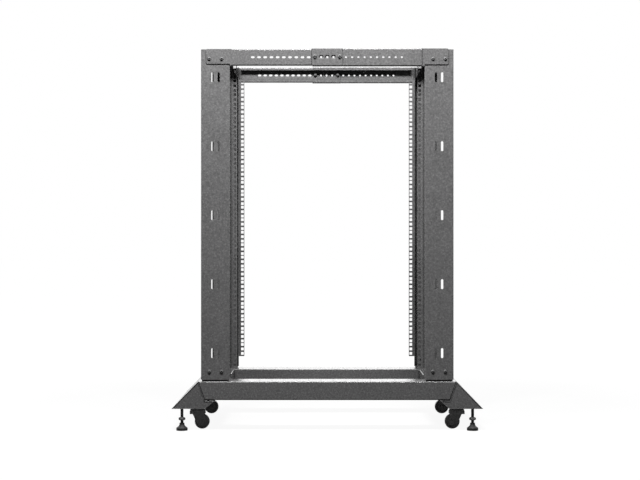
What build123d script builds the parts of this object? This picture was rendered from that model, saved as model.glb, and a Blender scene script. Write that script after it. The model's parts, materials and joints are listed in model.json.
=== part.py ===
"""Four-post open-frame equipment rack, 22 units high, on casters and levelling feet.

Millimetres. X is the depth with the front at -X, Y is the width with the right side at -Y,
Z is up, and the origin is on the floor below the middle of the rack.
"""
from build123d import *
import math
import os

# Rack unit pattern, the same on every hole row
unit_pitch = 44.45
unit_count = 22
unit_hole_offsets = (6.35, 22.225, 38.1)
first_unit_z = 203.5
square_hole = 9.5
hole_row_spacing = 465.12

# Posts: one folded sheet each
post_sheet = 2.0
bend_radius = 1.5
post_width = 93.0
post_depth = 30.0
post_lip = 24.0
post_front_x = 407.0
post_outer_y = 255.0
post_top_z = 1229.0
lip_hole_inset = 10.0
lip_bottom_z = 200.0
lip_top_z = 1185.0

# Cable hook slots in the post panels
slot_length = 32.0
slot_width = 7.5
slot_pitch_units = 5
slot_count = 5
slot_top_z = 1139.2
slot_from_front = 47.0
slot_spacing = 20.0

# Base rails and foot beams
base_sheet = 2.0
base_outer_y = 257.0
base_rail_width = 88.0
base_top_z = 159.0
base_bottom_z = 99.0
base_end_x = 414.0
base_end_rake = 21.0
base_hole_pitch = 40.0
base_hole_count = 16
base_hole_diameter = 7.0
base_hole_inset = 46.0
foot_inner_x = 326.0
foot_shoulder_x = 416.0
foot_toe_x = 502.0
foot_bottom_z = 71.0
foot_heel_x = 393.0
foot_return_x = 363.0
seam_gap = 0.5

# Brackets that tie the posts to the base
bracket_sheet = 3.0
bracket_height = 45.0
bracket_foot = 24.0

# Telescoping top rails
rail_sheet = 1.5
rail_centre_z = 1204.0
rail_height = 49.6
rail_depth = 16.0
rail_lip = 8.7
rail_end_x = 390.0
rail_overlap = 48.0
rail_post_gap = 6.0
nest_gap = 0.2
tab_corner = 4.0
joggle_length = 4.0
sleeve_sheet = 1.2
sleeve_depth = 21.0
rail_hole_pitch = 20.0
rail_hole_count = 15
rail_hole_start = -40.0
rail_slot_length = 12.0
rail_slot_height = 8.0
rail_hole_diameter = 6.8
sleeve_hole_count = 5

# Top crossbars
crossbar_drop = 38.0

# Levelling feet
foot_pad_diameter = 36.5
foot_pad_rim = 8.0
foot_waist_diameter = 21.0
foot_waist_z = 14.0
foot_pad_height = 19.0
foot_neck_diameter = 16.0
foot_neck_top_z = 24.0
stem_diameter = 10.0
stem_top_z = 80.0
hex_bottom_z = 33.0
hex_height = 9.0
hex_across_flats = 19.0
leveller_x = 469.5
leveller_y = 241.0
weld_nut_across_flats = 17.0
weld_nut_height = 6.0

# Casters
caster_x = 422.0
caster_y = 198.5
caster_trail = 14.5
wheel_diameter = 48.5
wheel_width = 20.0
wheel_shoulder = 3.0
hub_diameter = 22.0
hub_recess = 1.5
axle_diameter = 8.0
axle_head = 1.5
plate_thickness = 4.0
plate_length = 46.0
plate_width = 60.0
plate_corner = 5.0
race_diameter = 40.0
race_height = 5.0
crown_diameter = 50.0
wheel_top_gap = 5.0
fork_sheet = 2.5
fork_skirt_depth = 5.0
fork_waist = 33.0
fork_round = 32.0
fork_round_shift = 3.0
kingpin_diameter = 10.0

# Clearances
seat_gap = 0.3
shaft_gap = 0.05
wheel_side_gap = 1.0

# Sizes worked out from the values above
hole_row_y = hole_row_spacing / 2
post_inner_x = post_front_x - post_width
post_inner_y = post_outer_y - post_depth
unit_top_z = first_unit_z + unit_count * unit_pitch
hole_heights = [
    first_unit_z + unit * unit_pitch + offset
    for unit in range(unit_count)
    for offset in unit_hole_offsets
]
slot_heights = [slot_top_z - row * slot_pitch_units * unit_pitch for row in range(slot_count)]
axle_z = wheel_diameter / 2
race_top_z = foot_bottom_z - plate_thickness
race_bottom_z = race_top_z - race_height
crown_top_z = race_bottom_z - seat_gap
crown_bottom_z = wheel_diameter + wheel_top_gap
crown_height = crown_top_z - crown_bottom_z
fork_gap = wheel_width + 2 * wheel_side_gap

ends = {"front": -1, "rear": 1}
sides = {"right": -1, "left": 1}


def mirrored(shape, end, side):
    """A piece drawn at the rear left corner, moved to the corner named by two signs."""
    if end < 0:
        shape = mirror(shape, about=Plane.YZ)
    if side < 0:
        shape = mirror(shape, about=Plane.XZ)
    return shape


def folded(points, sheet):
    """The cross-section of a folded sheet, from the points of its middle line."""
    return trace(FilletPolyline(*points, radius=bend_radius + sheet / 2), sheet)


def block(low, high):
    """A box from its lowest to its highest corner."""
    size = [b - a for a, b in zip(low, high)]
    centre = [(a + b) / 2 for a, b in zip(low, high)]
    return Pos(*centre) * Box(*size)


def punches(plane, shape, places, reach):
    """Cutting tools of one shape at many places on a plane."""
    return [extrude(plane * Pos(u, v) * shape, reach, both=True) for u, v in places]


def hexagon(across_flats):
    """A hexagon by the size of the spanner that fits it."""
    return RegularPolygon(across_flats / 2, 6, major_radius=False)


def post():
    """One sheet folded into lip, web, side panel and flange, with its punched rows."""
    half = post_sheet / 2
    lip_y = post_inner_y + half
    panel_y = post_outer_y - half
    web_x = post_inner_x + half
    flange_x = post_front_x - half
    section = folded(
        [
            (post_inner_x - post_lip, lip_y),
            (web_x, lip_y),
            (web_x, panel_y),
            (flange_x, panel_y),
            (flange_x, post_inner_y),
        ],
        post_sheet,
    )
    body = Pos(0, 0, base_top_z) * extrude(section, post_top_z - base_top_z)
    lip_end_x = post_inner_x - bend_radius
    trims = [
        block(
            (post_inner_x - 2 * post_lip, post_inner_y - post_sheet, low),
            (lip_end_x, post_inner_y + 2 * post_sheet, high),
        )
        for low, high in ((0, lip_bottom_z), (lip_top_z, 2 * post_top_z))
    ]
    square = Rectangle(square_hole, square_hole)
    flange_rows = punches(
        Plane.YZ.offset(flange_x), square, [(hole_row_y, z) for z in hole_heights], post_sheet
    )
    lip_hole_x = post_inner_x - post_lip + lip_hole_inset
    lip_rows = punches(
        Plane.XZ.offset(-lip_y), square, [(lip_hole_x, z) for z in hole_heights], post_sheet
    )
    hook_x = [post_front_x - slot_from_front + place * slot_spacing / 2 for place in (1, -1)]
    hook_slots = punches(
        Plane.XZ.offset(-panel_y),
        SlotOverall(slot_length, slot_width, rotation=90),
        [(x, z) for x in hook_x for z in slot_heights],
        post_sheet,
    )
    return body - trims - flange_rows - lip_rows - hook_slots


def post_bracket():
    """Angle bracket inside the foot of a post, bolted to its panel and to the base."""
    inside_y = post_outer_y - post_sheet
    half = bracket_sheet / 2
    section = folded(
        [
            (inside_y - bracket_foot, base_top_z + half),
            (inside_y - half, base_top_z + half),
            (inside_y - half, base_top_z + bracket_height),
        ],
        bracket_sheet,
    )
    start_x = post_inner_x + post_sheet + bend_radius
    length = post_width - 2 * (post_sheet + bend_radius)
    return extrude(Plane.YZ.offset(start_x) * section, length)


def crossbar():
    """Downward channel between the two rear posts, seated inside their folds."""
    half = post_sheet / 2
    inner_x = post_inner_x + post_sheet + bend_radius / 2 + half
    outer_x = post_front_x - post_sheet - bend_radius / 2 - half
    drop_z = post_top_z - crossbar_drop
    section = folded(
        [
            (inner_x, drop_z),
            (inner_x, post_top_z - half),
            (outer_x, post_top_z - half),
            (outer_x, drop_z),
        ],
        post_sheet,
    )
    reach = post_outer_y - post_sheet - bend_radius / 2
    return extrude(Plane.XZ * section, reach, both=True)


def base_rail():
    """Downward channel along the left side, with raked ends and a row of holes on top."""
    half = base_sheet / 2
    inner_y = base_outer_y - base_rail_width
    section = folded(
        [
            (base_outer_y - half, base_bottom_z),
            (base_outer_y - half, base_top_z - half),
            (inner_y + half, base_top_z - half),
            (inner_y + half, base_bottom_z),
        ],
        base_sheet,
    )
    body = extrude(Plane.YZ * section, base_end_x, both=True)
    outline = Polygon(
        (base_end_x, base_top_z),
        (base_end_x - base_end_rake, base_bottom_z),
        (base_end_rake - base_end_x, base_bottom_z),
        (-base_end_x, base_top_z),
        align=None,
    )
    body &= extrude(Plane.XZ * outline, 2 * base_outer_y, both=True)
    first_x = -(base_hole_count - 1) * base_hole_pitch / 2
    places = [
        (first_x + place * base_hole_pitch, base_outer_y - base_hole_inset)
        for place in range(base_hole_count)
    ]
    holes = punches(Plane.XY.offset(base_top_z), Circle(base_hole_diameter / 2), places, 2 * base_sheet)
    return body - holes


def leveller_bore():
    """The clearance for a leveller's stem through the foot beam and its weld nut."""
    radius = stem_diameter / 2 + shaft_gap
    return Pos(leveller_x, leveller_y, foot_bottom_z) * Cylinder(radius, 4 * weld_nut_height)


def foot_beam():
    """Folded wedge across the rear of the base, with weld nuts for the two levellers."""
    half = base_sheet / 2
    slope = (base_top_z - foot_bottom_z) / (foot_toe_x - foot_shoulder_x)
    toe_shift = half * (math.sqrt(1 + slope**2) + 1) / slope
    shoulder_shift = half * (math.sqrt(1 + slope**2) - 1) / slope
    section = folded(
        [
            (foot_inner_x + half, base_bottom_z),
            (foot_inner_x + half, base_top_z - half),
            (foot_shoulder_x - shoulder_shift, base_top_z - half),
            (foot_toe_x - toe_shift, foot_bottom_z + half),
            (foot_heel_x, foot_bottom_z + half),
            (foot_return_x + base_sheet, base_bottom_z - base_sheet),
        ],
        base_sheet,
    )
    reach = base_outer_y - base_sheet
    body = extrude(Plane.XZ * section, reach, both=True)
    rail_inner_y = base_outer_y - base_rail_width - seat_gap
    for side in (-1, 1):
        near_y, far_y = sorted((side * rail_inner_y, side * 2 * base_outer_y))
        body -= block(
            (foot_inner_x - base_rail_width, near_y, base_bottom_z),
            (base_end_x + seat_gap, far_y, base_top_z + base_sheet),
        )
        nut = extrude(hexagon(weld_nut_across_flats), weld_nut_height)
        body += Pos(leveller_x, side * leveller_y, foot_bottom_z + base_sheet) * nut
        body -= mirrored(leveller_bore(), 1, side)
    return body


def foot_end_cap():
    """Plate that closes the left end of the rear foot beam beside the base rail."""
    outline = Polygon(
        (foot_shoulder_x, base_top_z),
        (foot_toe_x, foot_bottom_z),
        (foot_heel_x, foot_bottom_z),
        (foot_return_x, base_bottom_z - seam_gap),
        (base_end_x - base_end_rake + seam_gap, base_bottom_z - seam_gap),
        (base_end_x + seam_gap, base_top_z),
        align=None,
    )
    return extrude(Plane.XZ.offset(-base_outer_y) * outline, base_sheet)


def channel(outer_y, height, depth, lip, sheet, start_x, end_x):
    """Open channel along the left side with its web outermost; a lip of 0 leaves it plain."""
    half = sheet / 2
    web_y = outer_y - half
    rim_y = outer_y - depth + half
    edge_z = height / 2 - half
    points = [(rim_y, -edge_z), (web_y, -edge_z), (web_y, edge_z), (rim_y, edge_z)]
    if lip > 0:
        points = [(rim_y, lip - height / 2)] + points + [(rim_y, height / 2 - lip)]
    section = folded(points, sheet)
    return extrude(Plane.YZ.offset(start_x) * Pos(0, rail_centre_z) * section, end_x - start_x)


def rail_punches(shape, places, outer_y):
    """Punches through the web of a top rail at these distances along it."""
    plane = Plane.XZ.offset(-outer_y)
    return punches(plane, shape, [(x, rail_centre_z) for x in places], 2 * rail_sheet)


# The inner rail lies on the post panels and the outer rail and the sleeve nest over it
inner_web_y = post_outer_y + rail_sheet
outer_web_y = inner_web_y + nest_gap + rail_sheet
outer_rail_height = rail_height + 2 * (rail_sheet + nest_gap)
outer_rail_depth = rail_depth + 2 * (rail_sheet + nest_gap)
outer_rail_lip = rail_lip + rail_sheet + nest_gap
sleeve_web_y = outer_web_y + nest_gap + sleeve_sheet
sleeve_height = outer_rail_height + 2 * (sleeve_sheet + nest_gap)
rail_flange_end = post_inner_x - rail_post_gap
rail_hole_places = [rail_hole_start + place * rail_hole_pitch for place in range(rail_hole_count)]


def end_tab(path, height):
    """The flat end of a top rail over a post, from its line seen from above."""
    tab = extrude(trace(Polyline(*path), rail_sheet), height)
    end_edges = tab.edges().filter_by(Axis.Y).group_by(Axis.X)[-1]
    return Pos(0, 0, rail_centre_z - height / 2) * fillet(end_edges, tab_corner)


def top_rail_inner():
    """Front half of the left top rail, with its row of slots."""
    body = channel(
        inner_web_y, rail_height, rail_depth, rail_lip, rail_sheet, -rail_flange_end, rail_overlap
    )
    web_y = inner_web_y - rail_sheet / 2
    tab = end_tab([(rail_flange_end, web_y), (rail_end_x, web_y)], rail_height)
    slot = SlotOverall(rail_slot_length, rail_slot_height)
    slots = rail_punches(slot, [-x for x in rail_hole_places], inner_web_y)
    return body + mirror(tab, about=Plane.YZ) - slots


def top_rail_outer():
    """Rear half of the left top rail, set in at its end to lie on the post panel."""
    body = channel(
        outer_web_y,
        outer_rail_height,
        outer_rail_depth,
        outer_rail_lip,
        rail_sheet,
        -rail_overlap,
        rail_flange_end - joggle_length,
    )
    web_y = outer_web_y - rail_sheet / 2
    seat_y = inner_web_y - rail_sheet / 2
    path = [
        (rail_flange_end - joggle_length, web_y),
        (rail_flange_end, seat_y),
        (rail_end_x, seat_y),
    ]
    tab = end_tab(path, outer_rail_height)
    hole = Circle(rail_hole_diameter / 2)
    return body + tab - rail_punches(hole, rail_hole_places, outer_web_y)


def top_rail_sleeve():
    """Channel clip that holds the two halves of the left top rail together."""
    body = channel(
        sleeve_web_y, sleeve_height, sleeve_depth, 0, sleeve_sheet, -rail_overlap, rail_overlap
    )
    places = rail_hole_places[:sleeve_hole_count]
    return body - rail_punches(Circle(rail_hole_diameter / 2), places, sleeve_web_y)


def leveller_stem():
    """Threaded stem of a levelling foot with its hexagon for the spanner."""
    stem = Pos(0, 0, foot_neck_top_z) * Cylinder(
        stem_diameter / 2,
        stem_top_z - foot_neck_top_z,
        align=(Align.CENTER, Align.CENTER, Align.MIN),
    )
    collar = Pos(0, 0, hex_bottom_z) * extrude(hexagon(hex_across_flats), hex_height)
    return Pos(leveller_x, leveller_y, 0) * (stem + collar)


def leveller_foot():
    """Turned foot of a leveller: a flat pad that sweeps up to a round neck."""
    outline = Polygon(
        (0, 0),
        (foot_pad_diameter / 2, 0),
        (foot_pad_diameter / 2, foot_pad_rim),
        (foot_waist_diameter / 2, foot_waist_z),
        (foot_neck_diameter / 2, foot_pad_height),
        (foot_neck_diameter / 2, foot_neck_top_z),
        (0, foot_neck_top_z),
        align=None,
    )
    return Pos(leveller_x, leveller_y, 0) * revolve(Plane.XZ * outline, Axis.Z)


def caster_plate():
    """Bolt plate of a caster with the fixed race of its swivel."""
    plate = RectangleRounded(plate_length, plate_width, plate_corner)
    body = Pos(0, 0, race_top_z) * extrude(plate, plate_thickness)
    body += Pos(0, 0, race_bottom_z) * extrude(Circle(race_diameter / 2), race_height)
    body -= Cylinder(kingpin_diameter / 2 + shaft_gap, 4 * foot_bottom_z)
    return Pos(caster_x, caster_y, 0) * body


def caster_fork():
    """Swivelling fork of a caster with its kingpin and axle."""
    axle_x = -caster_trail
    crown = Pos(0, 0, crown_bottom_z) * extrude(Circle(crown_diameter / 2), crown_height)
    pin_height = foot_bottom_z - seat_gap - crown_top_z
    kingpin = Pos(0, 0, crown_top_z) * extrude(Circle(kingpin_diameter / 2), pin_height)
    round_place = Pos(axle_x + fork_round_shift, axle_z + fork_round_shift)
    lower = round_place * Circle(fork_round / 2)
    waist = Pos(0, crown_bottom_z) * Rectangle(fork_waist, fork_skirt_depth)
    skirt = Pos(0, crown_bottom_z) * Rectangle(crown_diameter, 2 * fork_skirt_depth)
    side = make_hull(lower.edges() + waist.edges()) + skirt
    fork = crown + kingpin
    for hand in (-1, 1):
        middle_y = hand * (fork_gap + fork_sheet) / 2
        fork += extrude(Plane.XZ.offset(-middle_y) * side, fork_sheet / 2, both=True)
    axle_length = fork_gap + 2 * fork_sheet + 2 * axle_head
    axle = extrude(Plane.XZ * Pos(axle_x, axle_z) * Circle(axle_diameter / 2), axle_length / 2, both=True)
    return Pos(caster_x, caster_y, 0) * (fork + axle)


def caster_wheel():
    """Wheel of a caster with rounded shoulders and a hub recessed into each face."""
    radius = wheel_diameter / 2
    half = wheel_width / 2
    bore = axle_diameter / 2 + shaft_gap
    hub = hub_diameter / 2
    profile = Polygon(
        (bore, -half),
        (hub - hub_recess, -half),
        (hub, hub_recess - half),
        (radius - 2 * wheel_shoulder, hub_recess - half),
        (radius - wheel_shoulder, -half),
        (radius, wheel_shoulder - half),
        (radius, half - wheel_shoulder),
        (radius - wheel_shoulder, half),
        (radius - 2 * wheel_shoulder, half - hub_recess),
        (hub, half - hub_recess),
        (hub - hub_recess, half),
        (bore, half),
        align=None,
    )
    wheel = revolve(profile, Axis.Y)
    return Pos(caster_x - caster_trail, caster_y, axle_z) * wheel


def save(name, shape):
    """One file for one named piece."""
    export_step(shape, os.path.join("parts", name + ".step"))


os.makedirs("parts", exist_ok=True)

corner_pieces = {
    "post": post(),
    "post_bracket": post_bracket(),
    "foot_end_cap": foot_end_cap(),
    "leveller_stem": leveller_stem(),
    "leveller_foot": leveller_foot(),
    "caster_plate": caster_plate(),
    "caster_fork": caster_fork(),
    "caster_wheel": caster_wheel(),
}
side_pieces = {
    "base_rail": base_rail(),
    "top_rail_inner": top_rail_inner(),
    "top_rail_outer": top_rail_outer(),
    "top_rail_sleeve": top_rail_sleeve(),
}
end_pieces = {
    "foot_beam": foot_beam(),
    "top_crossbar": crossbar(),
}
for side_name, side in sides.items():
    for piece_name, piece in side_pieces.items():
        save(piece_name + "_" + side_name, mirrored(piece, 1, side))
    for end_name, end in ends.items():
        for piece_name, piece in corner_pieces.items():
            save("_".join((piece_name, end_name, side_name)), mirrored(piece, end, side))
for end_name, end in ends.items():
    for piece_name, piece in end_pieces.items():
        save(piece_name + "_" + end_name, mirrored(piece, end, 1))
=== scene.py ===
import json
import math

import bmesh
import bpy
from mathutils import Matrix, Vector


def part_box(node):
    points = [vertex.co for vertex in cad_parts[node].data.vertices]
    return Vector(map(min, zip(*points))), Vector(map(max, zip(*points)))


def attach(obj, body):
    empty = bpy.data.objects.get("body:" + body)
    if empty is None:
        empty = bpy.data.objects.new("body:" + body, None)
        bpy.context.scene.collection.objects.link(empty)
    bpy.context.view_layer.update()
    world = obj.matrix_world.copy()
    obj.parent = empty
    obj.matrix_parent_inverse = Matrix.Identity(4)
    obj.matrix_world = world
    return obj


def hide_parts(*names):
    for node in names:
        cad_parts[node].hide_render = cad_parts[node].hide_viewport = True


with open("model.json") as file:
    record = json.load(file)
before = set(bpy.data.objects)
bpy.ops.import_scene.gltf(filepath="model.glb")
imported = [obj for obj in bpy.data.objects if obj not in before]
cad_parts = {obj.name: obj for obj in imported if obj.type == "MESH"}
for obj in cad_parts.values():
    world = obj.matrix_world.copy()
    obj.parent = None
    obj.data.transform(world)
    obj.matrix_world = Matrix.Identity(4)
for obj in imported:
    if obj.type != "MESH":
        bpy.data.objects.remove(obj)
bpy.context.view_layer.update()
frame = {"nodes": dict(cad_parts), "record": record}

nodes = frame["nodes"]

# The frame: X from the front to the rear, Y from the right to the left, Z up, lengths in metres
X, Y = 0, 1
ENDS = {"front": -1, "rear": 1}
SIDES = {"right": -1, "left": 1}
CORNERS = {end + "_" + side: (ENDS[end], SIDES[side]) for end in ENDS for side in SIDES}

# Camera: a level view of the right side, its lens and sensor in millimetres
CAMERA_PLACE = (-0.0235, -4.785, 0.6245)
CAMERA_LENS = 79.1
CAMERA_SENSOR = 36.0
CAMERA_SHIFT_Y = -0.0047
LEVEL = math.pi / 2

# Lamps: where each stands, what it faces, its width and height, and its power in watts
LAMPS = {
    "key": ((-0.12, -1.15, 2.75), (0.0, -0.25, 0.7), (1.4, 0.45), 155.0),
    "low": ((0.0, -2.4, 0.35), (0.0, 0.0, 0.05), (2.0, 0.3), 0.6),
    "back": ((0.0, 3.2, 3.2), (0.0, 0.2, 0.7), (3.0, 1.5), 45.0),
}

# Studio: strengths of the white surroundings, and where they change
SOFT_LIGHT = 0.015
WALL_MIRRORED = 2.0
WALL_RISE = (-0.1, 0.35)
FLOOR_SIZE = 60.0
FLOOR_COLOUR = (0.06, 0.06, 0.06, 1.0)
FLOOR_ROUGHNESS = 0.9
FLOOR_GLOW = (0.93, 1.0)
FLOOR_GLOW_REACH = (1.2, 2.6)
FLOOR_MIRRORED = 0.4
FLOOR_MIRRORED_Y = (-0.5, 0.5)
WHITE = (1.0, 1.0, 1.0, 1.0)

# Finishes
COAT_COLOUR = (0.118, 0.117, 0.118)
# Painted light: the caster steel is coloured far lighter than it is, to stand in for the light it
# lacks under the foot beams
CASTER_COLOUR_WITH_PAINTED_LIGHT = (0.36, 0.36, 0.361)
FOOT_COLOUR = (0.01, 0.01, 0.0105)
# Painted light: the tread is coloured lighter than it is, for the same lack of light under the foot
# beams
TREAD_COLOUR_WITH_PAINTED_LIGHT = (0.36, 0.36, 0.361)
SCREW_COLOUR = (0.115, 0.115, 0.116)
SCREW_SPECULAR = 0.25
NOISE_RANGE = (0.3, 0.7)
SCUFF_RANGE = (0.3, 0.75)
# Painted shade: how ambient occlusion is turned into darker colour in crevices, seams and corners
PAINTED_SHADE_RANGE = (0.1, 0.75)
PAINTED_SEAM_SHADE_RANGE = (0.4, 0.9)
PAINTED_SHADE_SAMPLES = 8

# Steps round a turned shape and round the end of a slot, rows of points to a turn of thread,
# the angles in degrees below which edges are smooth, and how near two corners count as one
TURN = 36
SLOT_STEPS = 8
THREAD_ROWS = 4
SMOOTH_BELOW = 35.0
SHEET_SMOOTH_BELOW = 5.0
JOIN_WITHIN = 1e-6

# Screw heads: radius, height and width of the socket
BUTTON_HEAD = (0.0058, 0.0034, 0.004)
SPLICE_HEAD = (0.0067, 0.0036, 0.005)
LOW_HEAD = (0.0055, 0.0018, 0.004)
PLATE_HEAD = (0.0045, 0.0022, 0.0026)

# The dome of a head from its foot up, in parts of its radius and height, and its socket's floor
DOME = ((0.97, 0.0), (1.0, 0.12), (0.97, 0.38), (0.88, 0.66), (0.7, 0.9), (0.52, 1.0))
SOCKET_FLOOR = 0.4

# Nuts: width across flats, height and radius of the screw in them
NUT = (0.010, 0.005, 0.003)
AXLE_NUT = (0.013, 0.0032, 0.004)

# A nut's flat face in parts of its width, its chamfers and the end of its screw in parts of its height
NUT_FACE = 0.46
NUT_CHAMFERS = (0.14, 0.86)
SCREW_END = (1.3, 1.45)
SCREW_TIP = 0.8

# Places of the fasteners
POST_BOLT_X = (0.340, 0.380)
FOOT_BOLT_Z = 0.1915
TAB_BOLT_Z = 1.1985
TOP_SCREW_Y = 0.246
FOOT_SCREW_Y = 0.240
SPLICE_BOLT_X = (-0.040, 0.040)
SPLICE_BOLT_Z = 1.2055
AXLE_NUT_FACE = 0.0135
PLATE_SCREW_REACH = (0.016, 0.023)
PLATE_UNDERSIDE_Z = 0.067

# Sheets
PANEL_SHEET = 0.002
BRACKET_SHEET = 0.003
RAIL_SHEET = 0.0015
LIP_WIDTH = 0.024

# Splice plates over the joints of the top rails
SPLICE_REACH = 0.050
SPLICE_RISE = 0.0026
SPLICE_SHEET = 0.0044
SPLICE_BEVEL = 0.0021
SPLICE_SLOT_X = (-0.020, 0.0, 0.020)
SPLICE_SLOT = (0.0128, 0.0092)

# Levelling feet: the stem, the pitch and depth of its thread, and its hexagon
STEM_RADIUS = 0.005
STEM_THREAD = (0.0015, 0.0006)
STEM_Z = (0.024, 0.080)
STEM_HEXAGON = 0.019
STEM_HEXAGON_Z = (0.033, 0.042)
STEM_HEXAGON_CHAMFER = 0.0018
STEM_HEXAGON_FACE = 0.42

# Caster wheels: radius and distance from the wheel's middle, from the bore out to the tread
WHEEL_PROFILE = (
    (0.00405, 0.0100),
    (0.0080, 0.0100),
    (0.0086, 0.0094),
    (0.0092, 0.0082),
    (0.0172, 0.0082),
    (0.0184, 0.0094),
    (0.0202, 0.0100),
    (0.0224, 0.0094),
    (0.0237, 0.0074),
    (0.02425, 0.0040),
)

# Foot plates under the posts
FOOT_PLATE = 0.0056
FOOT_PLATE_INSET = 0.003
FOOT_PLATE_BEVEL = 0.0004

# End caps of the foot beams: X and Z round the rear one, and the faces of the cap and its rim
CAP_OUTLINE = ((0.416, 0.159), (0.502, 0.071), (0.393, 0.071), (0.363, 0.097), (0.395, 0.097))
CAP_INNER_Y = 0.255
CAP_FACE_Y = 0.2572
CAP_BEVEL = 0.0005
RIM_FACE_Y = 0.2584
RIM_WIDTH = 0.0022

# Top rails: heights, how much further their webs stand out, rows of holes, and end tabs
RAIL_Z = {"inner": (1.1771, 1.2297), "outer": (1.1752, 1.2316)}
RAIL_END = {"inner": ENDS["front"], "outer": ENDS["rear"]}
WEB_THICKER = 1.5
HOLE_REACH = 0.008
HOLE_SQUEEZE = 0.8
TAB_START_X = 0.3135
TAB_CUT_MARGIN = 0.0003
TAB_RISE = 0.005
TAB_CORNER = 0.0045

# Lips of the posts, outer flanges of the crossbars and turned-in edges of the base rails
LIP_END_X = 0.293
CROSSBAR_FLANGE_Z = 1.206
HEM_HEIGHT = 0.0032
HEM_TURN = 0.0025

# How near a point has to lie to an edge or to an outer wall to belong to it
NEAR_EDGE = 0.001
NEAR_WALL = 0.003


class Tree:
    """A short way to write a node tree."""

    def __init__(self, tree):
        self.tree = tree

    def add(self, kind, **values):
        node = self.tree.nodes.new(kind)
        for key, value in values.items():
            setattr(node, key, value)
        return node

    def link(self, source, target):
        self.tree.links.new(source, target)

    def ramp(self, source, low, high, start, stop):
        """Turns start to stop into low to high, and holds both ends."""
        node = self.add("ShaderNodeMapRange")
        self.link(source, node.inputs["Value"])
        node.inputs["From Min"].default_value = start
        node.inputs["From Max"].default_value = stop
        node.inputs["To Min"].default_value = low
        node.inputs["To Max"].default_value = high
        return node.outputs["Result"]

    def join(self, operation, first, second):
        node = self.add("ShaderNodeMath", operation=operation)
        self.link(first, node.inputs[0])
        self.link(second, node.inputs[1])
        return node.outputs[0]

    def multiply(self, first, second):
        return self.join("MULTIPLY", first, second)

    def maximum(self, first, second):
        return self.join("MAXIMUM", first, second)


class Finish(Tree):
    """The node tree of one material."""

    def __init__(self, name):
        self.material = bpy.data.materials.new(name)
        self.material.use_nodes = True
        super().__init__(self.material.node_tree)
        self.shader = self.tree.nodes["Principled BSDF"]
        self.place = self.add("ShaderNodeTexCoord").outputs["Object"]

    def noise(self, scale, detail=2.0, roughness=0.5):
        node = self.add("ShaderNodeTexNoise")
        self.link(self.place, node.inputs["Vector"])
        node.inputs["Scale"].default_value = scale
        node.inputs["Detail"].default_value = detail
        node.inputs["Roughness"].default_value = roughness
        return node.outputs["Fac"]

    def spread(self, noise, low, high):
        """A noise stretched from low to high."""
        return self.ramp(noise, low, high, *NOISE_RANGE)

    def painted_crevice_shade(self, reach, darkest, openness=PAINTED_SHADE_RANGE):
        """Painted shade: an ambient-occlusion factor that falls from 1 in the open to its darkest
        value in seams and corners, and darkens the colour there.
        """
        node = self.add("ShaderNodeAmbientOcclusion", samples=PAINTED_SHADE_SAMPLES)
        node.inputs["Distance"].default_value = reach
        return self.ramp(node.outputs["AO"], darkest, 1.0, *openness)

    def colour(self, colour, factor):
        """The base colour, made darker or lighter by a factor that varies over the surface."""
        node = self.add("ShaderNodeVectorMath", operation="SCALE")
        node.inputs[0].default_value = colour
        self.link(factor, node.inputs["Scale"])
        self.link(node.outputs[0], self.shader.inputs["Base Color"])

    def roughness(self, source):
        self.link(source, self.shader.inputs["Roughness"])

    def bump(self, height, strength, distance):
        node = self.add("ShaderNodeBump")
        node.inputs["Strength"].default_value = strength
        node.inputs["Distance"].default_value = distance
        self.link(height, node.inputs["Height"])
        self.link(node.outputs["Normal"], self.shader.inputs["Normal"])


def powder_coat():
    """Dark grey powder coat: fine orange-peel grain, slight mottling, and painted shade that darkens
    and dulls it in seams and corners.
    """
    m = Finish("powder_coat")
    grain = m.noise(scale=190.0, detail=3.0, roughness=0.7)
    mottle = m.noise(scale=9.0, detail=4.0)
    grain_shade = m.spread(grain, 0.66, 1.34)
    mottle_shade = m.spread(mottle, 0.95, 1.05)
    # Painted shade: ambient occlusion darkens the coat in narrow seams and in wider corners
    narrow_painted_shade = m.painted_crevice_shade(reach=0.006, darkest=0.1, openness=PAINTED_SEAM_SHADE_RANGE)
    painted_seam_shade = m.multiply(narrow_painted_shade, m.painted_crevice_shade(reach=0.03, darkest=0.4))
    shade = m.multiply(m.multiply(grain_shade, mottle_shade), painted_seam_shade)
    m.colour(COAT_COLOUR, shade)
    m.roughness(m.spread(grain, 0.2, 0.3))
    m.bump(grain, strength=0.12, distance=0.0003)
    # Painted shade on reflections: the sheen is dimmed in the same seams and corners
    m.link(m.ramp(painted_seam_shade, 0.0, 0.5, 0.0, 1.0), m.shader.inputs["Specular IOR Level"])
    return m.material


def dark_steel():
    """Plated steel of the casters, coloured lighter than it is as painted light for the shade it
    stands in, with painted shade in its crevices.
    """
    m = Finish("dark_steel")
    grain = m.noise(scale=300.0, detail=4.0)
    # Painted light in the lightened colour, and painted shade from ambient occlusion in the crevices
    m.colour(CASTER_COLOUR_WITH_PAINTED_LIGHT, m.multiply(m.spread(grain, 0.75, 1.25), m.painted_crevice_shade(0.004, 0.2)))
    m.roughness(m.spread(m.noise(scale=60.0), 0.32, 0.5))
    m.bump(grain, strength=0.12, distance=0.0002)
    return m.material


def foot_plastic():
    """Moulded dark nylon of the levelling feet."""
    m = Finish("foot_plastic")
    grain = m.noise(scale=500.0)
    m.colour(FOOT_COLOUR, m.spread(grain, 0.85, 1.15))
    m.roughness(m.spread(grain, 0.6, 0.75))
    m.bump(grain, strength=0.1, distance=0.0002)
    return m.material


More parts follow.
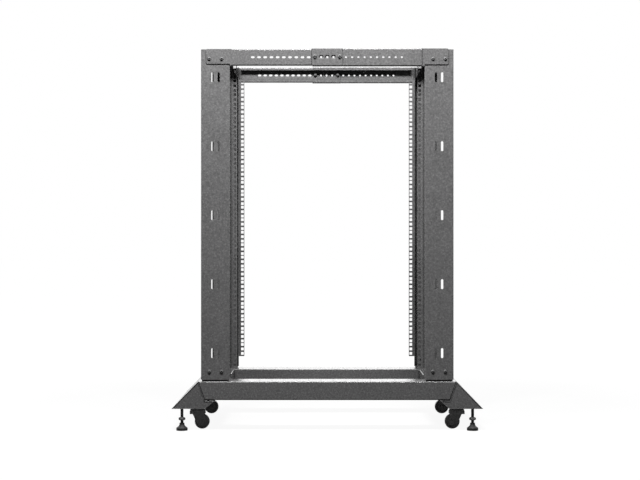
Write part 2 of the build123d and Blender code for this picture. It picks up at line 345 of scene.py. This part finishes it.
def wheel_rubber():
    """Caster tread, scuffed a little, its colour lightened as painted light for the shade it stands
    in.
    """
    m = Finish("wheel_rubber")
    scuff = m.noise(scale=70.0, detail=5.0, roughness=0.65)
    m.colour(TREAD_COLOUR_WITH_PAINTED_LIGHT, m.ramp(scuff, 0.75, 1.35, *SCUFF_RANGE))
    m.roughness(m.spread(scuff, 0.5, 0.75))
    m.bump(m.noise(scale=350.0, detail=3.0), strength=0.15, distance=0.0002)
    return m.material


def black_bolt():
    """Blackened steel of the screws, nuts and stems, with a very fine grain and painted shade in its
    crevices.
    """
    m = Finish("black_bolt")
    grain = m.noise(scale=900.0, detail=3.0)
    # Painted shade: ambient occlusion darkens the colour in the crevices round heads and nuts
    m.colour(SCREW_COLOUR, m.multiply(m.spread(grain, 0.8, 1.2), m.painted_crevice_shade(0.003, 0.2)))
    m.roughness(m.spread(grain, 0.5, 0.65))
    m.bump(grain, strength=0.1, distance=0.0001)
    m.shader.inputs["Specular IOR Level"].default_value = SCREW_SPECULAR
    return m.material


MATERIALS = {
    "powder_coat": powder_coat(),
    "dark_steel": dark_steel(),
    "foot_plastic": foot_plastic(),
    "wheel_rubber": wheel_rubber(),
    "black_bolt": black_bolt(),
}


def dress_nodes():
    """Every node of the frame takes the material of its slot."""
    for row in frame["record"]["subparts"]:
        node = nodes[row["node"]]
        node.data.materials.clear()
        node.data.materials.append(MATERIALS[row["material_slot"]])


def span(box, axis):
    """The least and the greatest distance of a box's ends from the middle, along an axis."""
    low, high = box
    return sorted((abs(low[axis]), abs(high[axis])))


def circle(radius, height):
    """A ring of points at a height."""
    turns = [2 * math.pi * step / TURN for step in range(TURN)]
    return [(radius * math.cos(turn), radius * math.sin(turn), height) for turn in turns]


def hexagon(across_flats, height):
    """A hexagon with as many points as a circle, so that the two can be joined."""
    ring = []
    for step in range(TURN):
        turn = 2 * math.pi * step / TURN
        from_flat = (turn + math.pi / 6) % (math.pi / 3) - math.pi / 6
        radius = across_flats / 2 / math.cos(from_flat)
        ring.append((radius * math.cos(turn), radius * math.sin(turn), height))
    return ring


def thread(radius, pitch, depth, low, high):
    """The rings of a screw thread between two heights."""
    count = round((high - low) / pitch * THREAD_ROWS)
    rings = []
    for row in range(count + 1):
        height = low + (high - low) * row / count
        ring = []
        for step in range(TURN):
            turn = 2 * math.pi * step / TURN
            phase = (height / pitch - step / TURN) % 1.0
            crest = radius - depth * abs(2 * phase - 1)
            ring.append((crest * math.cos(turn), crest * math.sin(turn), height))
        rings.append(ring)
    return rings


def facing(point, direction):
    """The place of a shape at a point, its Z axis turned to a direction."""
    turn = Vector(direction).to_track_quat("Z", "Y")
    return Matrix.Translation(point) @ turn.to_matrix().to_4x4()


def skin(shape, rings, place, closed=False):
    """A surface through rings of points: a solid with flat ends, or a closed loop."""
    rows = [[shape.verts.new(place @ Vector(point)) for point in ring] for ring in rings]
    pairs = list(zip(rows, rows[1:]))
    if closed:
        pairs.append((rows[-1], rows[0]))
    for low, high in pairs:
        for step in range(TURN):
            after = (step + 1) % TURN
            shape.faces.new((low[step], low[after], high[after], high[step]))
    if not closed:
        shape.faces.new(rows[0][::-1])
        shape.faces.new(rows[-1])


def head(shape, size, point, direction):
    """A domed screw head with its hexagon socket."""
    radius, height, socket = size
    rings = [circle(radius * across, height * up) for across, up in DOME]
    rings.append(hexagon(socket, height))
    rings.append(hexagon(socket, height * SOCKET_FLOOR))
    skin(shape, rings, facing(point, direction))


def nut(shape, size, point, direction):
    """A chamfered nut with the end of its screw."""
    across_flats, height, screw = size
    low_chamfer, high_chamfer = NUT_CHAMFERS
    rim, tip = SCREW_END
    rings = [
        circle(across_flats * NUT_FACE, 0.0),
        hexagon(across_flats, height * low_chamfer),
        hexagon(across_flats, height * high_chamfer),
        circle(across_flats * NUT_FACE, height),
        circle(screw, height),
        circle(screw, height * rim),
        circle(screw * SCREW_TIP, height * tip),
    ]
    skin(shape, rings, facing(point, direction))


def finish_piece(name, mesh, body, material, smooth_below=SMOOTH_BELOW):
    """Puts a mesh into the scene as one piece that rides on a body."""
    mesh.materials.append(MATERIALS[material])
    mesh.shade_smooth()
    mesh.set_sharp_from_angle(angle=math.radians(smooth_below))
    piece = bpy.data.objects.new(name, mesh)
    bpy.context.scene.collection.objects.link(piece)
    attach(piece, body)
    return piece


def coated(name, mesh, smooth_below=SMOOTH_BELOW):
    """A piece of the rack's powder-coated sheet."""
    return finish_piece(name, mesh, "rack", "powder_coat", smooth_below)


def fasteners(name, shape, body, material="black_bolt"):
    """Screws, nuts or a stem as one piece, in blackened steel unless another finish is given."""
    return finish_piece(name, from_shape(name, shape), body, material)


def from_shape(name, shape):
    """A mesh from a shape, its faces all turned outwards."""
    bmesh.ops.recalc_face_normals(shape, faces=shape.faces)
    mesh = bpy.data.meshes.new(name)
    shape.to_mesh(mesh)
    shape.free()
    return mesh


def plate(name, outlines, thickness, bevel, place):
    """A plate with bevelled edges from its outline and the outlines of its holes."""
    curve = bpy.data.curves.new(name, "CURVE")
    curve.dimensions = "2D"
    curve.fill_mode = "BOTH"
    curve.extrude = thickness / 2 - bevel
    curve.bevel_depth = bevel
    curve.bevel_resolution = 0
    curve.offset = -bevel
    for outline in outlines:
        spline = curve.splines.new("POLY")
        spline.points.add(len(outline) - 1)
        for point, (across, up) in zip(spline.points, outline):
            point.co = (across, up, 0.0, 1.0)
        spline.use_cyclic_u = True
    maker = bpy.data.objects.new(name + "_maker", curve)
    mesh = bpy.data.meshes.new_from_object(maker)
    bpy.data.objects.remove(maker)
    mesh.materials.clear()
    mesh.transform(place)
    if place.determinant() < 0:
        mesh.flip_normals()
    return mesh


def side_plate(name, outlines, face_y, side, thickness, bevel):
    """An upright plate, drawn in X and Z, whose outer face is at a distance from the middle."""
    middle = side * (face_y - thickness / 2)
    place = Matrix(((1, 0, 0, 0), (0, 0, 1, middle), (0, 1, 0, 0), (0, 0, 0, 1)))
    return plate(name, outlines, thickness, bevel, place)


def obround(middle_x, middle_z, length, height):
    """The outline of a slot with round ends."""
    radius = height / 2
    straight = length / 2 - radius
    points = []
    for end in (1, -1):
        for step in range(SLOT_STEPS + 1):
            turn = math.pi * (step / SLOT_STEPS - 0.5)
            across = middle_x + end * (straight + radius * math.cos(turn))
            up = middle_z + end * radius * math.sin(turn)
            points.append((across, up))
    return points


def inset(outline, width):
    """The outline moved inwards by a width all round."""
    points = []
    count = len(outline)
    area = sum(
        outline[i][0] * outline[(i + 1) % count][1] - outline[(i + 1) % count][0] * outline[i][1]
        for i in range(count)
    )
    turn = math.copysign(1.0, area)
    for i in range(count):
        before, here, after = (Vector(outline[j % count]) for j in (i - 1, i, i + 1))
        first = (here - before).normalized()
        second = (after - here).normalized()
        inward = Vector((-first.y - second.y, first.x + second.x)) * turn
        far = width / (1 + first.dot(second))
        points.append(tuple(here + inward * far))
    return points


def copied(node_name):
    """An open shape with the mesh of a node, its corners joined."""
    shape = bmesh.new()
    shape.from_mesh(nodes[node_name].data)
    bmesh.ops.remove_doubles(shape, verts=shape.verts, dist=JOIN_WITHIN)
    return shape


def cut(shape, point, direction, drop_below=False):
    """Cuts a shape by a plane, and closes it there if what is below is dropped."""
    geometry = shape.verts[:] + shape.edges[:] + shape.faces[:]
    result = bmesh.ops.bisect_plane(
        shape, geom=geometry, plane_co=point, plane_no=direction, clear_inner=drop_below
    )
    if drop_below:
        rim = [item for item in result["geom_cut"] if isinstance(item, bmesh.types.BMEdge)]
        bmesh.ops.edgenet_fill(shape, edges=rim)


def stand_in(node_name, name, shape):
    """The reshaped sheet takes the place of its node."""
    piece = coated(name, from_shape(name, shape), SHEET_SMOOTH_BELOW)
    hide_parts(node_name)


def thickened(panel_y, y):
    """The new distance from the middle of what stands out beyond the post panels."""
    return panel_y + (y - panel_y) * WEB_THICKER


def fit_rail(shape, low, high, rail_z, panel_y):
    """Fits a top rail to its height, with flatter slots and holes, shorter tabs and a bolder web."""
    low_z, high_z = rail_z
    stretch = (high_z - low_z) / (high.z - low.z)
    middle_z = (low.z + high.z) / 2
    for point in shape.verts:
        place = point.co
        in_rows = SPLICE_REACH < abs(place.x) < TAB_START_X
        if in_rows and abs(place.z - middle_z) < HOLE_REACH:
            place.z = middle_z + (place.z - middle_z) * HOLE_SQUEEZE
        if abs(place.x) > TAB_START_X and place.z < low.z + TAB_CORNER:
            place.z += TAB_RISE
        place.z = low_z + (place.z - low.z) * stretch
        if abs(place.y) > panel_y:
            place.y = math.copysign(thickened(panel_y, abs(place.y)), place.y)


def top_rails():
    """The top rails at the heights that the photograph shows."""
    for side_name in SIDES:
        panel_y = span(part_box("post_rear_" + side_name), Y)[1]
        for half, rail_z in RAIL_Z.items():
            node_name = "top_rail_" + half + "_" + side_name
            low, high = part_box(node_name)
            shape = copied(node_name)
            for tab_x in (TAB_START_X - TAB_CUT_MARGIN, TAB_START_X + TAB_CUT_MARGIN):
                cut(shape, (RAIL_END[half] * tab_x, 0, 0), (1, 0, 0))
            fit_rail(shape, low, high, rail_z, panel_y)
            stand_in(node_name, "top_rail_sheet_" + half + "_" + side_name, shape)


def crossbars():
    """The crossbars, their outer flanges shorter than the inner ones."""
    for end_name in ENDS:
        node_name = "top_crossbar_" + end_name
        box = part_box(node_name)
        low_z = box[0].z
        outer_x = span(box, X)[1]
        shape = copied(node_name)
        for point in shape.verts:
            if outer_x - abs(point.co.x) < NEAR_WALL and point.co.z < low_z + NEAR_EDGE:
                point.co.z = CROSSBAR_FLANGE_Z
        stand_in(node_name, "crossbar_sheet_" + end_name, shape)


def base_rails():
    """The base rails, with the lower edge of the outer wall turned in."""
    for side_name in SIDES:
        node_name = "base_rail_" + side_name
        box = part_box(node_name)
        low_z = box[0].z
        outer_y = span(box, Y)[1]
        shape = copied(node_name)
        cut(shape, (0, 0, low_z + HEM_HEIGHT), (0, 0, 1))
        for point in shape.verts:
            if outer_y - abs(point.co.y) < NEAR_WALL and point.co.z < low_z + NEAR_EDGE:
                point.co.y -= math.copysign(HEM_TURN, point.co.y)
        stand_in(node_name, "base_rail_sheet_" + side_name, shape)


def splice_plates():
    """The slotted plates over the joints of the top rails, each with two screws."""
    low_z, high_z = RAIL_Z["outer"]
    middle_z = (low_z + high_z) / 2
    upper_edge = [(SPLICE_REACH, high_z), (-SPLICE_REACH, high_z)]
    lower_edge = [(-SPLICE_REACH, low_z), (SPLICE_REACH, low_z)]
    slots = [obround(x, middle_z, *SPLICE_SLOT) for x in SPLICE_SLOT_X]
    for side_name, side in SIDES.items():
        rail_y = span(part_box("top_rail_outer_" + side_name), Y)[1]
        panel_y = span(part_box("post_rear_" + side_name), Y)[1]
        face_y = thickened(panel_y, rail_y) + SPLICE_RISE
        name = "splice_plate_" + side_name
        outlines = [upper_edge + lower_edge] + slots
        mesh = side_plate(name, outlines, face_y, side, SPLICE_SHEET, SPLICE_BEVEL)
        piece = coated(name, mesh)
        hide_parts("top_rail_sleeve_" + side_name)
        screws = bmesh.new()
        inner_y = span(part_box("top_rail_inner_" + side_name), Y)[1] - RAIL_SHEET
        for x in SPLICE_BOLT_X:
            head(screws, SPLICE_HEAD, (x, side * face_y, SPLICE_BOLT_Z), (0, side, 0))
            nut(screws, NUT, (x, side * inner_y, SPLICE_BOLT_Z), (0, -side, 0))
        fasteners("splice_screws_" + side_name, screws, "rack")


def end_caps():
    """The closed ends of the foot beams, each set back in a narrow rim."""
    for corner, (end, side) in CORNERS.items():
        outline = [(end * x, z) for x, z in CAP_OUTLINE]
        name = "end_cap_" + corner
        thickness = CAP_FACE_Y - CAP_INNER_Y
        mesh = side_plate(name, [outline], CAP_FACE_Y, side, thickness, CAP_BEVEL)
        piece = coated(name, mesh)
        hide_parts("foot_end_cap_" + corner)
        name = "end_rim_" + corner
        outlines = [outline, inset(outline, RIM_WIDTH)]
        thickness = RIM_FACE_Y - CAP_INNER_Y
        mesh = side_plate(name, outlines, RIM_FACE_Y, side, thickness, CAP_BEVEL)
        coated(name, mesh)


def foot_plate(corner, end, side, post):
    """The plate that a post stands on, set in all round from the post's box."""
    inner_x, outer_x = span(post, X)
    inner_y, outer_y = span(post, Y)
    near_x = end * (inner_x + LIP_WIDTH + FOOT_PLATE_INSET)
    far_x = end * (outer_x - FOOT_PLATE_INSET)
    near_y = side * (inner_y + FOOT_PLATE_INSET)
    far_y = side * (outer_y - FOOT_PLATE_INSET)
    outline = [(near_x, near_y), (far_x, near_y), (far_x, far_y), (near_x, far_y)]
    name = "foot_plate_" + corner
    place = Matrix.Translation((0, 0, post[0].z + FOOT_PLATE / 2))
    coated(name, plate(name, [outline], FOOT_PLATE, FOOT_PLATE_BEVEL, place))


def posts_on_plates():
    """The posts, cut to stand on their foot plates, with narrower lips."""
    for corner, (end, side) in CORNERS.items():
        node_name = "post_" + corner
        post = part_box(node_name)
        lip_x = span(post, X)[0]
        shape = copied(node_name)
        cut(shape, (0, 0, post[0].z + FOOT_PLATE), (0, 0, 1), drop_below=True)
        for point in shape.verts:
            if abs(point.co.x) < lip_x + NEAR_EDGE:
                point.co.x = end * LIP_END_X
        stand_in(node_name, "post_sheet_" + corner, shape)
        foot_plate(corner, end, side, post)


def post_screws():
    """The screws through the foot and the head of each post, with their nuts inside."""
    for corner, (end, side) in CORNERS.items():
        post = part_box("post_" + corner)
        panel_y = span(post, Y)[1]
        top_z = post[1].z
        foot_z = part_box("post_bracket_" + corner)[0].z + BRACKET_SHEET
        tab_y = side * (panel_y + RAIL_SHEET * WEB_THICKER)
        foot_nut_y = side * (panel_y - PANEL_SHEET - BRACKET_SHEET)
        tab_nut_y = side * (panel_y - PANEL_SHEET)
        outwards = (0, side, 0)
        inwards = (0, -side, 0)
        upwards = (0, 0, 1)
        screws = bmesh.new()
        for x in (end * place for place in POST_BOLT_X):
            head(screws, BUTTON_HEAD, (x, side * panel_y, FOOT_BOLT_Z), outwards)
            nut(screws, NUT, (x, foot_nut_y, FOOT_BOLT_Z), inwards)
            head(screws, BUTTON_HEAD, (x, tab_y, TAB_BOLT_Z), outwards)
            nut(screws, NUT, (x, tab_nut_y, TAB_BOLT_Z), inwards)
            head(screws, LOW_HEAD, (x, side * TOP_SCREW_Y, top_z), upwards)
            head(screws, BUTTON_HEAD, (x, side * FOOT_SCREW_Y, foot_z), upwards)
        fasteners("post_screws_" + corner, screws, "rack")


def leveller_stems():
    """Threaded stems with a chamfered hexagon to turn them by."""
    low_z, high_z = STEM_Z
    hexagon_low, hexagon_high = STEM_HEXAGON_Z
    face_radius = STEM_HEXAGON * STEM_HEXAGON_FACE
    rings = [
        *thread(STEM_RADIUS, *STEM_THREAD, low_z, hexagon_low),
        circle(face_radius, hexagon_low),
        hexagon(STEM_HEXAGON, hexagon_low + STEM_HEXAGON_CHAMFER),
        hexagon(STEM_HEXAGON, hexagon_high - STEM_HEXAGON_CHAMFER),
        circle(face_radius, hexagon_high),
        *thread(STEM_RADIUS, *STEM_THREAD, hexagon_high, high_z),
    ]
    for corner in CORNERS:
        low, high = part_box("leveller_foot_" + corner)
        middle = Vector(((low.x + high.x) / 2, (low.y + high.y) / 2, 0))
        shape = bmesh.new()
        skin(shape, rings, Matrix.Translation(middle) @ Matrix.Rotation(math.pi / 6, 4, "Z"))
        piece = fasteners("stem_" + corner, shape, "leveller_" + corner)
        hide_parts("leveller_stem_" + corner)


def caster_wheels():
    """Turned wheels with rounded treads, and the nuts on the ends of their axles."""
    rings = [circle(radius, -across) for radius, across in WHEEL_PROFILE]
    rings += [circle(radius, across) for radius, across in reversed(WHEEL_PROFILE)]
    for corner in CORNERS:
        low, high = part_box("caster_wheel_" + corner)
        middle = (low + high) / 2
        shape = bmesh.new()
        skin(shape, rings, facing(middle, (0, 1, 0)), closed=True)
        name = "wheel_turned_" + corner
        mesh = from_shape(name, shape)
        piece = finish_piece(name, mesh, "wheel_" + corner, "wheel_rubber")
        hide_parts("caster_wheel_" + corner)
        nuts = bmesh.new()
        for way in (-1, 1):
            face = (middle.x, middle.y + way * AXLE_NUT_FACE, middle.z)
            nut(nuts, AXLE_NUT, face, (0, way, 0))
        fasteners("axle_nuts_" + corner, nuts, "fork_" + corner, "dark_steel")


def caster_plate_screws():
    """Four low screws that hold each caster plate to the beam above it."""
    reach_x, reach_y = PLATE_SCREW_REACH
    for corner in CORNERS:
        low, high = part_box("caster_plate_" + corner)
        middle = (low + high) / 2
        screws = bmesh.new()
        for x in (middle.x - reach_x, middle.x + reach_x):
            for y in (middle.y - reach_y, middle.y + reach_y):
                head(screws, PLATE_HEAD, (x, y, PLATE_UNDERSIDE_Z), (0, 0, -1))
        fasteners("plate_screws_" + corner, screws, "rack")


def make_camera():
    """A level camera that looks along +Y."""
    data = bpy.data.cameras.new("camera")
    data.lens = CAMERA_LENS
    data.sensor_width = CAMERA_SENSOR
    data.shift_y = CAMERA_SHIFT_Y
    camera = bpy.data.objects.new("camera", data)
    camera.location = CAMERA_PLACE
    camera.rotation_euler = (LEVEL, 0.0, 0.0)
    bpy.context.scene.collection.objects.link(camera)
    bpy.context.scene.camera = camera


def area_lamp(name, place, target, size, power):
    """A rectangular lamp that faces a point."""
    data = bpy.data.lights.new(name, "AREA")
    data.shape = "RECTANGLE"
    data.size, data.size_y = size
    data.energy = power
    lamp = bpy.data.objects.new(name, data)
    lamp.location = place
    direction = Vector(target) - lamp.location
    lamp.rotation_euler = direction.to_track_quat("-Z", "Y").to_euler()
    bpy.context.scene.collection.objects.link(lamp)


def make_world():
    """White to the camera, bright in mirrors towards the wall behind, and faint as soft light."""
    world = bpy.data.worlds.new("studio")
    world.use_nodes = True
    studio = Tree(world.node_tree)
    background = studio.tree.nodes["Background"]
    background.inputs["Color"].default_value = WHITE
    path = studio.add("ShaderNodeLightPath")
    direction = studio.add("ShaderNodeTexCoord").outputs["Generated"]
    parts = studio.add("ShaderNodeSeparateXYZ")
    studio.link(direction, parts.inputs[0])
    wall = studio.ramp(parts.outputs["Y"], SOFT_LIGHT, WALL_MIRRORED, *WALL_RISE)
    mirrored = studio.add("ShaderNodeMix")
    studio.link(path.outputs["Is Glossy Ray"], mirrored.inputs["Factor"])
    mirrored.inputs["A"].default_value = SOFT_LIGHT
    studio.link(wall, mirrored.inputs["B"])
    seen = studio.maximum(path.outputs["Is Camera Ray"], mirrored.outputs["Result"])
    studio.link(seen, background.inputs["Strength"])
    bpy.context.scene.world = world


def floor_finish():
    """White to the eye but a little greyer near the rack, paler in mirrors behind than in front."""
    m = Finish("studio_floor")
    m.shader.inputs["Base Color"].default_value = FLOOR_COLOUR
    m.shader.inputs["Roughness"].default_value = FLOOR_ROUGHNESS
    m.shader.inputs["Specular IOR Level"].default_value = 0.0
    m.shader.inputs["Emission Color"].default_value = WHITE
    distance = m.add("ShaderNodeVectorMath", operation="LENGTH")
    m.link(m.place, distance.inputs[0])
    glow = m.ramp(distance.outputs["Value"], *FLOOR_GLOW, *FLOOR_GLOW_REACH)
    parts = m.add("ShaderNodeSeparateXYZ")
    m.link(m.place, parts.inputs[0])
    path = m.add("ShaderNodeLightPath")
    indirect = m.maximum(path.outputs["Is Glossy Ray"], path.outputs["Is Transmission Ray"])
    behind = m.ramp(parts.outputs["Y"], 0.0, FLOOR_MIRRORED, *FLOOR_MIRRORED_Y)
    mirrored = m.multiply(indirect, behind)
    seen = m.maximum(path.outputs["Is Camera Ray"], mirrored)
    m.link(m.multiply(glow, seen), m.shader.inputs["Emission Strength"])
    return m.material


def make_floor():
    """The level floor that the rack stands on."""
    mesh = bpy.data.meshes.new("studio_floor")
    half = FLOOR_SIZE / 2
    corners = [(-half, -half, 0), (half, -half, 0), (half, half, 0), (-half, half, 0)]
    mesh.from_pydata(corners, [], [(0, 1, 2, 3)])
    floor = bpy.data.objects.new("studio_floor", mesh)
    bpy.context.scene.collection.objects.link(floor)
    mesh.materials.append(floor_finish())


make_camera()
bpy.context.scene.view_settings.view_transform = "Standard"
make_world()
make_floor()
for lamp_name, lamp_values in LAMPS.items():
    area_lamp(lamp_name, *lamp_values)
dress_nodes()
top_rails()
crossbars()
base_rails()
splice_plates()
end_caps()
posts_on_plates()
post_screws()
leveller_stems()
caster_wheels()
caster_plate_screws()
